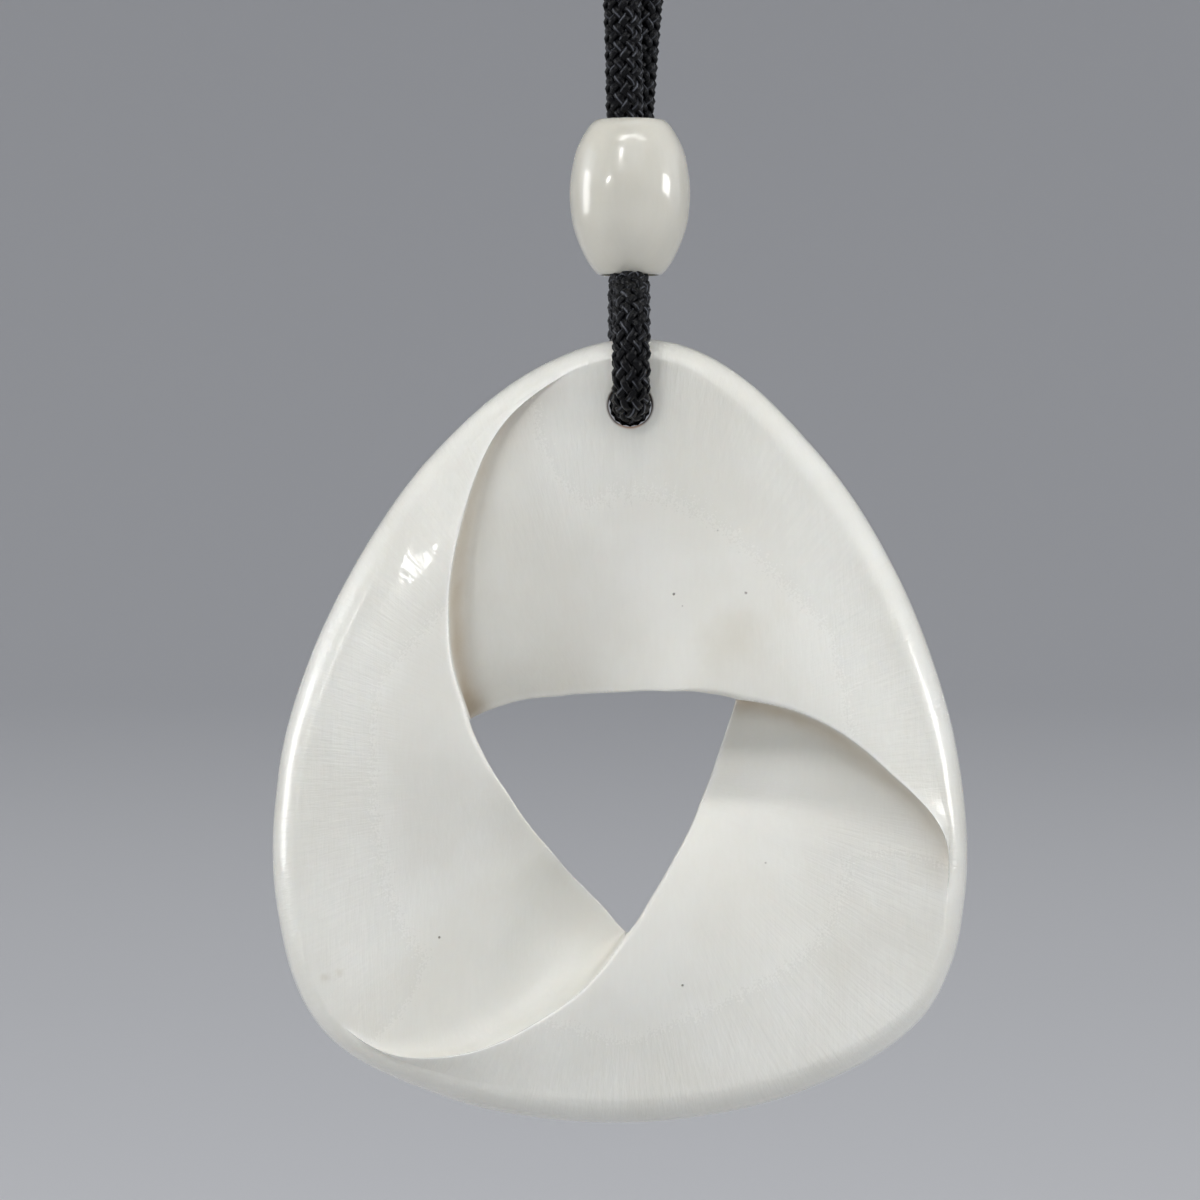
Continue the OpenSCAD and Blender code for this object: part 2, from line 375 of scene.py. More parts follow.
# Outer edge: angle, radius in millimetres
OUTLINE = [
    [0, 17.1], [20, 16.7], [40, 17.4], [60, 19.2], [80, 21.85], [90, 22.15], [100, 21.4],
    [120, 19.1], [140, 17.5], [160, 17.1], [180, 17.65], [190, 18.2], [200, 18.9],
    [220, 20.15], [240, 18.85], [260, 17.9], [280, 17.8], [300, 18.5], [320, 19.55],
    [330, 19.2], [340, 18.4], [360, 17.1],
]
# Radius of the opening: share of the way along a blade, top blade, left blade, lower blade
OPENING = [
    [0, 6.85, 8.35, 8.1],
    [0.1, 5.75, 7.1, 6.1],
    [0.25, 4.65, 5.9, 4.7],
    [0.5, 4.2, 5.4, 4.1],
    [0.75, 5.1, 6, 4.65],
    [0.9, 6.8, 6.9, 5.65],
    [1, 8.35, 8.1, 6.85],
]
# Ridges: share of a blade from the corner, then the ridge's place from the opening (0)
# to the rim (1) for the upper left, lower and right ridge
RIDGE = [
    [0, 0, 0, 0],
    [0.1, 0.365, 0.365, 0.305],
    [0.2, 0.62, 0.62, 0.555],
    [0.3, 0.8, 0.845, 0.76],
    [0.4, 0.955, 0.975, 0.97],
    [0.5, 1, 1, 1],
]

# The scoop beside the upper left, lower and right ridge: how far it reaches and climbs, in
# millimetres, and how dark the painted shade in it is
SCOOP = [[1.7, 1.5, 1], [5.0, 4.0, 0.12], [1.8, 1.6, 0.85]]
# The share of a blade and of the wall beside it that a scoop takes at most
SCOOP_SHARE = 0.9
# A scoop is full size from where the wall has a third of its full height, and the hollow is out of
# a buffing wheel's reach from where it has a quarter
SCOOP_FADE = 3
SHELTER_FADE = 4
# How far the painted shade beside a ridge and the pale tint on the edges (wear and painted highlight)
# spread
RECESS_REACH = 1.1 * MM
WEAR_AND_HIGHLIGHT_REACH = 0.25 * MM

# Steps of the carved mesh: sections in half a blade, then the parts of one section in order
HALF_STEPS = 64
EDGE_STEPS = 3
ROUND_STEPS = 4
FACE_STEPS = 30
FOOT_STEPS = 8
WALL_STEPS = 6
RIM_STEPS = 20
SECTION_PARTS = [
    ("edge", EDGE_STEPS), ("edge_round", ROUND_STEPS), ("front", FACE_STEPS), ("foot", FOOT_STEPS),
    ("wall", WALL_STEPS), ("wall_top", EDGE_STEPS), ("crest", ROUND_STEPS), ("outer", FACE_STEPS),
    ("rim", RIM_STEPS), ("back", FACE_STEPS), ("back_round", ROUND_STEPS),
]
# Points closer than this are one point
MERGE_GAP = 0.0003 * MM
# Edges that bend more than this stay sharp
SHARP_DEG = 38


def section_guide():
    """One loose point for each section, with what the tables say about it."""
    # The outline goes on for one row past both ends, so that it closes smoothly
    before_first = [OUTLINE[-2][0] - 360, OUTLINE[-2][1]]
    after_last = [OUTLINE[1][0] + 360, OUTLINE[1][1]]
    outline = [before_first, *OUTLINE, after_last]
    rows = []
    for blade in range(3):
        for before in (False, True):
            for i in range(HALF_STEPS + 1):
                away = (HALF_STEPS - i if before else i) / HALF_STEPS / 2
                corner = CORNER_DEG[blade + 1] if before else CORNER_DEG[blade]
                degrees = corner + (SLIP_DEG[blade] - corner) * 2 * away
                junction = blade if before else (blade + 2) % 3
                rows.append([
                    math.radians(degrees),
                    smooth_at(OPENING, blade + 1, 1 - away if before else away) * MM * GROW,
                    smooth_at(outline, 1, degrees % 360) * MM * GROW,
                    smooth_at(RIDGE, junction + 1, away),
                    away,
                    float(before),
                    SCOOP[junction][0] * MM,
                    SCOOP[junction][1] * MM,
                    SCOOP[junction][2],
                ])
    names = [
        "angle", "inner_radius", "outer_radius", "ridge_place", "away", "front_ridge",
        "scoop_reach", "scoop_rise", "shade_strength",
    ]
    columns = dict(zip(names, np.array(rows, dtype=float).T))
    return guide_mesh("twist_sections", np.zeros((len(rows), 3)), columns, joined=False)


def rounded_leg_group():
    """One straight part of a section, with a rounded corner at each end."""
    number = "NodeSocketFloat"
    inputs = [("Along", number, 0)]
    for part in ("In", "Straight", "Out"):
        inputs += [(part + " First", number, 1), (part + " Steps", number, 1)]
    inputs += [("From", "NodeSocketVector", None), ("To", "NodeSocketVector", None)]
    inputs += [("Round In", number, 0), ("Round Out", number, 0), ("Crown", number, 0)]
    inputs += [("Crown Start", number, 1), ("Crown End", number, 1)]
    outputs = [("Offset", "NodeSocketVector")]
    tree, f, out = new_group("rounded leg", "GeometryNodeTree", inputs, outputs)
    path = vector_calc(tree, "SUBTRACT", f["To"], f["From"])
    length = vector_calc(tree, "LENGTH", path, result="Value")
    heading = vector_calc(tree, "NORMALIZE", path)
    entering = ramp(tree, f["Along"], f["In First"], f["In Steps"])
    middle = ramp(tree, f["Along"], f["Straight First"], f["Straight Steps"])
    leaving = ramp(tree, f["Along"], f["Out First"], f["Out Steps"])
    # The points of the straight part lie closer together near its ends
    crowding = 0.55
    eased = middle - calc(tree, "SINE", middle * math.tau) * (crowding / math.tau)
    gone = (
        f["Round In"] * entering * entering
        + (length - f["Round In"] - f["Round Out"]) * eased
        + f["Round Out"] * leaving * (2 - leaving)
    )
    # A crowned part bulges to the left of its heading, which is away from the bone. With both
    # powers at 1, the crown is its height in the middle, in shares of its length.
    part = gone / length
    rise, fall = part ** f["Crown Start"], calc(tree, "MAXIMUM", 1 - part, 0) ** f["Crown End"]
    lift = f["Crown"] * 4 * length * rise * fall
    right, _, up = parts_of(tree, heading)
    sideways = vector_of(tree, 0 - up, 0, right)
    offset = added(tree, scaled(tree, heading, gone), scaled(tree, sideways, lift))
    feed(tree, out.inputs["Offset"], offset)
    return tree


def twist_tree():
    """The tree that lays the sections of the blades round the opening and drills the cord hole."""
    number, count = "NodeSocketFloat", "NodeSocketInt"
    tree, f, out = new_group("carved twist", "GeometryNodeTree", [
        ("Sections", "NodeSocketGeometry", None),
        ("Section Count", count, 1),
        ("Ridge Thickness", number, 6 * MM),
        ("Rim Thickness", number, RIM_THICKNESS),
        ("Rim Rounding", number, RIM_ROUNDING),
        ("Rim Widening", number, RIM_WIDENING),
        ("Edge Thickness", number, EDGE_THICKNESS),
        ("Edge Round", number, EDGE_ROUND),
        ("Crest Round", number, CREST_ROUND),
        ("Crown", number, CROWN),
        ("Hollow", number, HOLLOW),
        ("Hole Diameter", number, HOLE_DIAMETER),
        ("Hole Chamfer", number, HOLE_CHAMFER),
        ("Waviness", number, WAVINESS),
        ("Centre", "NodeSocketVector", None),
        ("Hole Centre", "NodeSocketVector", None),
        ("Bone", "NodeSocketMaterial", None),
    ], [("Mesh", "NodeSocketGeometry")])

    steps = dict(SECTION_PARTS)
    first, last = {}, 0
    for part in steps:
        first[part] = last
        last += steps[part]
    loop_points = last + 1

    grid = add(tree, "GeometryNodeMeshGrid", {
        "Vertices X": f["Section Count"], "Vertices Y": loop_points,
    })
    index = Field(tree, add(tree, "GeometryNodeInputIndex").outputs[0])
    row = calc(tree, "FLOOR", (index + 0.5) / loop_points)
    column = index - row * loop_points

    def read(name):
        """A number of the section that this point belongs to."""
        sample = add(tree, "GeometryNodeSampleIndex", {
            "Geometry": f["Sections"], "Value": named_value(tree, name), "Index": row,
        }, data_type="FLOAT")
        return Field(tree, sample.outputs[0])

    angle, inner, outer = read("angle"), read("inner_radius"), read("outer_radius")
    ridge_place, away, front = read("ridge_place"), read("away"), read("front_ridge")

    # A section with its ridge on the back is one with its ridge in front, turned over
    along = column * front + (last - column) * (1 - front)
    side = 2 * front - 1

    ridge_z = f["Ridge Thickness"] / 2
    rim_z = f["Rim Thickness"] / 2
    half_edge = f["Edge Thickness"] / 2
    swing = (ridge_z - half_edge) * calc(tree, "COSINE", away * math.pi)
    crest_z = rim_z + (ridge_z - rim_z) * (1 - 4 * away * away)
    # The foot of the wall sinks towards the corner of the opening, ever more steeply
    foot_power = 1.6
    sunk = calc(tree, "POWER", calc(tree, "MAXIMUM", 1 - 2 * away, 0), foot_power)
    foot_z = rim_z - (rim_z + ridge_z - f["Edge Thickness"]) * sunk
    rim_round = f["Rim Rounding"] + f["Rim Widening"] * (1 - ridge_place ** 4)
    shoulder = outer - rim_round
    ridge_r = inner + (outer - f["Rim Rounding"] - inner) * ridge_place
    wall_share = f["Edge Thickness"] / (f["Ridge Thickness"] - f["Edge Thickness"])
    top_z = crest_z - wall_share * (crest_z - foot_z)

    corner = {
        "edge": vector_of(tree, inner, 0, half_edge - swing),
        "foot": vector_of(tree, ridge_r, 0, foot_z),
        "top": vector_of(tree, ridge_r, 0, top_z),
        "crest": vector_of(tree, ridge_r, 0, crest_z),
        "shoulder": vector_of(tree, shoulder, 0, rim_z),
        "under": vector_of(tree, shoulder, 0, 0 - rim_z),
        "back": vector_of(tree, inner, 0, 0 - half_edge - swing),
    }

    def half_length(a, b):
        return distance(tree, corner[a], corner[b]) / 2

    front_half, edge_half = half_length("edge", "foot"), half_length("edge", "back")
    edge_round = smallest(tree, f["Edge Round"], front_half, edge_half)
    # The crest's wide rounding runs out along the first quarter of the next blade's edge
    spread = calc(tree, "MAXIMUM", 1 - away * 4, 0)
    edge_to_crest = f["Edge Round"] + (f["Crest Round"] - f["Edge Round"]) * spread
    back_round = smallest(tree, edge_to_crest, half_length("under", "back"), edge_half)
    # The scoop beside a ridge reaches further across the blade than it climbs up the wall
    wall_tall = (crest_z - foot_z) / (f["Ridge Thickness"] - f["Edge Thickness"])
    room = (front_half * 2 - edge_round) * SCOOP_SHARE
    full_reach = read("scoop_reach") * smallest(tree, wall_tall * SCOOP_FADE, 1)
    scoop_reach = smallest(tree, full_reach, room)
    wall_room = half_length("foot", "top") * (2 * SCOOP_SHARE)
    scoop_rise = smallest(tree, read("scoop_rise"), wall_room, front_half)
    crest_round = smallest(
        tree, f["Crest Round"], half_length("top", "crest"), half_length("crest", "shoulder")
    )
    fading = calc(tree, "COSINE", away * math.pi) ** 2
    crown, hollow = f["Crown"] * fading, 0 - f["Hollow"] * fading

    leg_group = rounded_leg_group()
    whole = []

    def leg(
        start, end, straight, entering=None, leaving=None,
        round_in=0, round_out=0, bulge=0, powers=(1, 1),
    ):
        """Adds one part of the section to the sum."""
        entering, leaving = entering or straight, leaving or straight
        node = add(tree, "GeometryNodeGroup", {
            "Along": along, "From": corner[start], "To": corner[end],
            "In First": first[entering], "In Steps": steps[entering],
            "Straight First": first[straight], "Straight Steps": steps[straight],
            "Out First": first[leaving], "Out Steps": steps[leaving],
            "Round In": round_in, "Round Out": round_out, "Crown": bulge,
            "Crown Start": powers[0], "Crown End": powers[1],
        }, node_tree=leg_group)
        whole.append(Field(tree, node.outputs[0]))

    leg("back", "edge", "edge", "back_round", "edge_round", back_round, edge_round)
    leg("edge", "foot", "front", "edge_round", "foot", edge_round, scoop_reach, hollow)
    leg("foot", "top", "wall", entering="foot", round_in=scoop_rise)
    leg("top", "crest", "wall_top", leaving="crest", round_out=crest_round)
    leg(
        "crest", "shoulder", "outer", entering="crest",
        round_in=crest_round, bulge=crown, powers=(1, 2),
    )
    leg(
        "under", "back", "back", leaving="back_round",
        round_out=back_round, bulge=crown, powers=(2, 1),
    )
    # The rim turns from the front to the back on a curve between a bevel and a half round
    turn = ramp(tree, along, first["rim"], steps["rim"]) * math.pi
    out_part = calc(tree, "POWER", calc(tree, "MAXIMUM", calc(tree, "SINE", turn), 0), RIM_POWER)
    up = calc(tree, "COSINE", turn)
    up_part = calc(tree, "POWER", calc(tree, "ABSOLUTE", up), RIM_POWER) * calc(tree, "SIGN", up)
    whole.append(vector_of(tree, rim_round * out_part, 0, rim_z * (up_part - 1)))
    # A section starts on its edge, past the rounding
    edge_path = vector_calc(tree, "SUBTRACT", corner["edge"], corner["back"])
    edge_way = vector_calc(tree, "NORMALIZE", edge_path)
    point = added(tree, corner["back"], scaled(tree, edge_way, back_round))
    for part in whole:
        point = added(tree, point, part)

    radius, _, height = parts_of(tree, point)
    x, z = radius * calc(tree, "COSINE", angle), radius * calc(tree, "SINE", angle)
    placed = vector_of(tree, x, 0 - height * side, z)

    def near(name, reach):
        gap = distance(tree, point, corner[name])
        return calc(tree, "POWER", 0.5, (gap / reach) ** 2)

    # Masks for the finish: the painted shade in the recess beside a ridge, the pale edges of the blades
    # (wear and painted highlight), the way in from the rim, and the hollow under a ridge where a
    # buffing wheel doesn't reach
    beside = calc(tree, "LESS_THAN", along, first["crest"] + 0.5)
    under = calc(tree, "LESS_THAN", along, first["crest"] - 0.5)
    masks = {
        "recess_shade": near("foot", RECESS_REACH) * calc(tree, "SQRT", wall_tall) * beside * read("shade_strength"),
        "worn": calc(tree, "MAXIMUM", near("crest", WEAR_AND_HIGHLIGHT_REACH), near("edge", WEAR_AND_HIGHLIGHT_REACH)),
        "inward": (outer - radius) / (outer - inner),
        "sheltered": under * smallest(tree, wall_tall * SHELTER_FADE, 1),
    }
    geometry = grid.outputs["Mesh"]
    for name, value in masks.items():
        geometry = store(tree, geometry, name, value)
    geometry = add(tree, "GeometryNodeSetPosition", {
        "Geometry": geometry, "Position": placed,
    }).outputs[0]

    # Two sections lie on each other where one half of a blade ends and the next starts
    face_row = calc(tree, "FLOOR", (index + 0.5) / (loop_points - 1))
    half_row = calc(tree, "MODULO", face_row, HALF_STEPS + 1)
    geometry = add(tree, "GeometryNodeDeleteGeometry", {
        "Geometry": geometry, "Selection": calc(tree, "COMPARE", half_row, HALF_STEPS, 0.5),
    }, domain="FACE", mode="ALL").outputs[0]
    geometry = add(tree, "GeometryNodeMergeByDistance", {
        "Geometry": geometry, "Distance": MERGE_GAP,
    }).outputs[0]
    geometry = add(tree, "GeometryNodeFlipFaces", {"Mesh": geometry}).outputs[0]

    # Slight unevenness of hand work
    noise = add(tree, "ShaderNodeTexNoise", {
        "Scale": 1 / WAVE_LENGTH, "Detail": 1.0,
    }, noise_dimensions="3D")
    lift = (Field(tree, noise.outputs[0]) - 0.5) * f["Waviness"]
    normal = Field(tree, add(tree, "GeometryNodeInputNormal").outputs[0])
    geometry = add(tree, "GeometryNodeSetPosition", {
        "Geometry": geometry, "Offset": scaled(tree, normal, lift),
    }).outputs[0]

    # The drilled hole, a cylinder along Y with a countersink at both faces
    hole_r = f["Hole Diameter"] / 2
    drill = add(tree, "GeometryNodeMeshCylinder", {
        "Vertices": DRILL_SIDES, "Radius": hole_r, "Depth": f["Ridge Thickness"] * 2,
    })
    sink = add(tree, "GeometryNodeMeshCone", {
        "Vertices": DRILL_SIDES,
        "Radius Bottom": hole_r - SINK_OVERLAP,
        "Radius Top": hole_r + SINK_LENGTH,
        "Depth": SINK_LENGTH,
    })
    hole_cut = add(tree, "GeometryNodeMeshBoolean", {
        "Mesh 1": geometry,
    }, operation="DIFFERENCE", solver="MANIFOLD")
    for tool, sign, face in ((drill, 1, 0), (sink, 1, FRONT_AT_HOLE), (sink, -1, BACK_AT_HOLE)):
        chamfer = f["Hole Chamfer"] if face else 0
        offset = vector_of(tree, 0, (chamfer - face) * sign, 0)
        aimed = add(tree, "GeometryNodeTransform", {
            "Geometry": tool.outputs["Mesh"],
            "Translation": added(tree, f["Hole Centre"], offset),
            "Rotation": (sign * math.radians(90), 0, 0),
        })
        feed(tree, hole_cut.inputs["Mesh 2"], aimed.outputs[0])
    geometry = add(tree, "GeometryNodeTransform", {
        "Geometry": hole_cut.outputs["Mesh"], "Translation": f["Centre"],
    }).outputs[0]
    geometry = add(tree, "GeometryNodeSetShadeSmooth", {"Geometry": geometry}).outputs[0]
    bend = Field(tree, add(tree, "GeometryNodeInputMeshEdgeAngle").outputs["Unsigned Angle"])
    sharp = calc(tree, "GREATER_THAN", bend, math.radians(SHARP_DEG))
    geometry = add(tree, "GeometryNodeSetShadeSmooth", {
        "Geometry": geometry, "Selection": sharp, "Shade Smooth": False,
    }, domain="EDGE").outputs[0]
    geometry = add(tree, "GeometryNodeRealizeInstances", {"Geometry": geometry}).outputs[0]
    painted = add(tree, "GeometryNodeSetMaterial", {"Geometry": geometry, "Material": f["Bone"]})
    feed(tree, out.inputs["Mesh"], painted.outputs[0])
    return tree


def make_twist(bone):
    guide = section_guide()
    run_tree("carved_twist", guide, twist_tree(), {
        "Section Count": len(guide.vertices),
        "Ridge Thickness": float(PENDANT_HIGH[1] - PENDANT_LOW[1]),
        "Centre": tuple(HOLE_AT + CENTRE_FROM_HOLE * GROW),
        "Hole Centre": tuple(-CENTRE_FROM_HOLE * GROW),
        "Bone": bone,
    }, "pendant", ["twist_pendant"])


# The turned bead

BEAD_SIDES = 96
BEAD_STEPS = 60
BORE_RADIUS = 1.5 * MM
BORE_STEPS = 12
# Side of the bead: height from its middle, radius, in millimetres
BEAD_SIDE = [
    [-3.95, 1.53], [-3.92, 1.61], [-3.82, 1.73], [-3.65, 1.88], [-3.4, 2.06], [-3, 2.29], [-2.4, 2.57],
    [-1.5, 2.88], [-0.6, 3.02], [0.15, 3.07], [0.9, 3.03], [1.7, 2.9], [2.4, 2.72], [3, 2.44],
    [3.4, 2.2], [3.65, 2.03], [3.82, 1.86], [3.92, 1.7], [3.95, 1.57],
]


def make_bead(bone):
    """A barrel turned round the two strands, with a drilled bore."""
    half = (BEAD_HIGH[2] - BEAD_LOW[2]) / 2
    share = (1 - np.cos(np.linspace(0, math.pi, BEAD_STEPS + 1))) / 2
    heights = (2 * share - 1) * half
    radii = smooth_at(BEAD_SIDE, 1, heights / MM) * MM
    bore = np.linspace(half, -half, BORE_STEPS + 1)
    profile = [*zip(radii, heights), *((BORE_RADIUS, height) for height in bore)]
    points, faces = turned(profile, BEAD_SIDES, (BEAD_HIGH + BEAD_LOW) / 2, closed=True)
    mesh = smooth_mesh("turned_bead", points, faces, bone)
    keep_piece("turned_bead", mesh, "necklace", ["barrel_bead"])


# The braided cord

CORD_RADIUS = 1 * MM
# The length in which a yarn goes once round the cord, and the number of yarns
LAY_LENGTH = 6.8 * MM
CARRIERS = 16
# The ring that the yarns lie on, how far they rise and dip to cross, and the size of one yarn
YARN_RING = 0.74 * MM
YARN_RISE = 0.11 * MM
YARN_WIDTH = 0.5 * MM
YARN_THICKNESS = 0.3 * MM
CORE_RADIUS = 0.5 * MM
CORE_SIDES = 8
CORE_STEP = 0.8 * MM
GUIDE_STEP = 0.4 * MM
# The braid is squeezed wider where it fills the pendant's hole
HOLE_SWELL = 0.07
SWELL_REACH = 1.8 * MM


def lengths_along(points):
    """The length of a path up to each of its points."""
    gaps = np.linalg.norm(np.diff(points[:, :3], axis=0), axis=1)
    return np.concatenate([[0], np.cumsum(gaps)])


def smooth_path(points, step):
    """A smooth curve through rows of [x, y, z, ...], cut into even steps, and the length up to each."""
    points = np.array(points, dtype=float)
    knots = lengths_along(points)
    rows = np.column_stack([knots, points])
    # Three places to a step are close enough to measure the curve by
    fine = np.linspace(0, knots[-1], int(knots[-1] / step * 3))
    dense = np.column_stack([smooth_at(rows, c + 1, fine) for c in range(points.shape[1])])
    length = lengths_along(dense)
    even = np.linspace(0, length[-1], max(2, int(round(length[-1] / step))) + 1)
    return np.column_stack([np.interp(even, length, column) for column in dense.T]), even


def carried_across(path, start, first):
    """A sideways vector carried along a path both ways from one point, without twist."""
    headings = np.gradient(path, axis=0)
    headings /= np.linalg.norm(headings, axis=1)[:, None]
    across = np.zeros_like(path)
    across[start] = first
    for order in (range(start + 1, len(path)), range(start - 1, -1, -1)):
        last = np.array(first, dtype=float)
        for i in order:
            last = last - last.dot(headings[i]) * headings[i]
            last /= np.linalg.norm(last)
            across[i] = last
    return across


def cord_route():
    """The whole loop in metres, from the knot down the left side, through the hole and up the right."""
    knot_y = (KNOT_LOW[1] + KNOT_HIGH[1]) / 2 / MM
    knot_end = [KNOT_HIGH[0] / MM, knot_y, 0, 1]
    hole = HOLE_AT / MM
    front = [[*(hole + row[:3]), row[3]] for row in FRONT_STRAND]
    back = [[*(hole + row[:3]), row[3]] for row in BACK_STRAND]
    left = front + [[-x, y, z, 1] for x, y, z in SIDE_RUN] + [[-knot_end[0], *knot_end[1:]]]
    right = back + [[x, y, z, 1] for x, y, z in SIDE_RUN] + [knot_end]
    route = np.array(left[::-1] + right, dtype=float)
    route[:, :3] *= MM
    return route


def braid_tree():
    """The tree that lays crossing yarns round a centre line, each over one and under the next."""
    number, count = "NodeSocketFloat", "NodeSocketInt"
    tree, f, out = new_group("braid", "GeometryNodeTree", [
        ("Centre Line", "NodeSocketGeometry", None),
        ("From", number, 0),
        ("To", number, 0.1),
        ("Lay Length", number, LAY_LENGTH),
        ("Carriers", count, CARRIERS),
        ("Steps", count, 100),
        ("Sides", count, 6),
        ("Ring Radius", number, YARN_RING),
        ("Rise", number, YARN_RISE),
        ("Yarn Width", number, YARN_WIDTH),
        ("Yarn Thickness", number, YARN_THICKNESS),
        ("Core Radius", number, CORE_RADIUS),
        ("Core Steps", count, 100),
        ("Yarn", "NodeSocketMaterial", None),
        ("Core", "NodeSocketMaterial", None),
    ], [("Mesh", "NodeSocketGeometry")])
    centre = add(tree, "GeometryNodeMeshToCurve", {"Mesh": f["Centre Line"]}).outputs[0]

    def follow(length, name, kind):
        """A named value, the place and the direction of the centre line at a length along it."""
        sample = add(tree, "GeometryNodeSampleCurve", {
            "Curves": centre, "Value": named_value(tree, name, kind), "Length": length,
        }, data_type=kind, mode="LENGTH", use_all_curves=True)
        return [Field(tree, sample.outputs[key]) for key in ("Value", "Position", "Tangent")]

    def line(steps, copies):
        """Straight lines to be bent along the centre line."""
        straight = add(tree, "GeometryNodeCurvePrimitiveLine")
        cut = add(tree, "GeometryNodeResampleCurve", {
            "Curve": straight.outputs[0], "Count": steps,
        }, mode="COUNT")
        return add(tree, "GeometryNodeDuplicateElements", {
            "Geometry": cut.outputs[0], "Amount": copies,
        }, domain="SPLINE")

    def tube(curve, profile):
        node = add(tree, "GeometryNodeCurveToMesh", {
            "Curve": curve, "Profile Curve": profile.outputs[0], "Fill Caps": True,
        })
        return node.outputs[0]

    def painted(geometry, material):
        node = add(tree, "GeometryNodeSetMaterial", {"Geometry": geometry, "Material": material})
        return node.outputs[0]

    yarns = line(f["Steps"], f["Carriers"])
    which = yarns.outputs["Duplicate Index"]
    numbered = store(tree, yarns.outputs["Geometry"], "yarn", which, "INT", "CURVE")
    yarn = named_value(tree, "yarn", "INT")
    factor = Field(tree, add(tree, "GeometryNodeSplineParameter").outputs["Factor"])
    length = f["From"] + factor * (f["To"] - f["From"])
    across, middle, heading = follow(length, "across", "FLOAT_VECTOR")
    depth_share, _, _ = follow(length, "depth_share", "FLOAT")

    # Odd yarns turn one way and even ones the other, and they rise and dip where they cross
    half = f["Carriers"] / 2
    way = 1 - 2 * calc(tree, "MODULO", yarn, 2)
    turn = (way * length / f["Lay Length"] + calc(tree, "FLOOR", yarn / 2) / half) * math.tau
    ring = f["Ring Radius"] + way * f["Rise"] * calc(tree, "COSINE", turn * half)
    deep = vector_calc(tree, "CROSS_PRODUCT", heading, across)
    sideways = scaled(tree, across, calc(tree, "COSINE", turn))
    outward = added(tree, sideways, scaled(tree, deep, calc(tree, "SINE", turn) * depth_share))
    bent = add(tree, "GeometryNodeSetPosition", {
        "Geometry": numbered, "Position": added(tree, middle, scaled(tree, outward, ring)),
    })
    facing = add(tree, "GeometryNodeSetCurveNormal", {
        "Curve": bent.outputs[0], "Normal": vector_calc(tree, "NORMALIZE", outward),
    }, mode="FREE")
    measured = store(tree, facing.outputs[0], "run", length)

    # A yarn's section is a flattened circle, and its map runs along and across it
    circle = add(tree, "GeometryNodeCurvePrimitiveCircle", {"Resolution": f["Sides"], "Radius": 0.5})
    _, breadth, _ = parts_of(tree, add(tree, "GeometryNodeInputPosition").outputs[0])
    lens = add(tree, "GeometryNodeTransform", {
        "Geometry": store(tree, circle.outputs[0], "breadth", breadth),
        "Scale": vector_of(tree, f["Yarn Thickness"], f["Yarn Width"], 1),
    })
    run = named_value(tree, "run") / f["Yarn Width"]
    place_on_yarn = vector_of(tree, run, named_value(tree, "breadth"), 0)
    mapped = store(tree, tube(measured, lens), "yarn_map", place_on_yarn, "FLOAT2", "CORNER")

    core = line(f["Core Steps"], 1)
    laid = add(tree, "GeometryNodeSetPosition", {
        "Geometry": core.outputs["Geometry"], "Position": middle,
    })
    round_core = add(tree, "GeometryNodeCurvePrimitiveCircle", {
        "Resolution": CORE_SIDES, "Radius": f["Core Radius"],
    })
    filling = tube(laid.outputs[0], round_core)

    joined = tree.nodes.new("GeometryNodeJoinGeometry")
    feed(tree, joined.inputs[0], painted(mapped, f["Yarn"]))
    feed(tree, joined.inputs[0], painted(filling, f["Core"]))
    smooth = add(tree, "GeometryNodeSetShadeSmooth", {"Geometry": joined.outputs[0]})
    real = add(tree, "GeometryNodeRealizeInstances", {"Geometry": smooth.outputs[0]})
    feed(tree, out.inputs["Mesh"], real.outputs[0])
    return tree


def braided(name, tree, path, start, span, detail, nodes, yarn, core, swell=1):
    """One stretch of braid along a path of [x, y, z, share of the full depth]."""
    centre, share = path[:, :3], path[:, 3]
    across = carried_across(centre, start, (1, 0, 0))
    line = guide_mesh(name + "_line", centre, {
        "across": across * np.reshape(swell, (-1, 1)), "depth_share": share,
    }, joined=True)
    steps_per_lay, sides = detail
    run = span[1] - span[0]
    run_tree(name, line, tree, {
        "From": float(span[0]),
        "To": float(span[1]),
        "Steps": int(run / LAY_LENGTH * steps_per_lay) + 1,
        "Sides": sides,
        "Core Steps": int(run / CORE_STEP) + 2,
        "Yarn": yarn,
        "Core": core,
    }, "necklace", nodes)


# The stretch near the pendant shows every yarn closely, the two sides up to the nape less so:
# steps to one turn of a yarn, and sides of a yarn
CLOSE_REACH = 52 * MM
CLOSE_DETAIL = (48, 6)
SIDE_DETAIL = (32, 4)


def make_cord(tree, yarn, core):
    path, length = smooth_path(cord_route(), GUIDE_STEP)
    away = np.linalg.norm(path[:, :3] - HOLE_AT, axis=1)
    start = int(np.argmin(away))
    swell = 1 + HOLE_SWELL * np.exp(-(away / SWELL_REACH) ** 4)
    middle = length[start]
    spans = {
        "braid_close": ((middle - CLOSE_REACH, middle + CLOSE_REACH), CLOSE_DETAIL),
        "braid_left": ((0, middle - CLOSE_REACH), SIDE_DETAIL),
        "braid_right": ((middle + CLOSE_REACH, length[-1]), SIDE_DETAIL),
    }
    for name, (span, detail) in spans.items():
        braided(name, tree, path, start, span, detail, ["neck_cord"], yarn, core, swell)
    print("cord length", round(length[-1] / MM, 1), "mm")


KNOT_TURNS = 3
KNOT_STEPS = 60
# Radius of the coil at its tucked ends, in shares of its full radius
KNOT_TUCK = 0.35


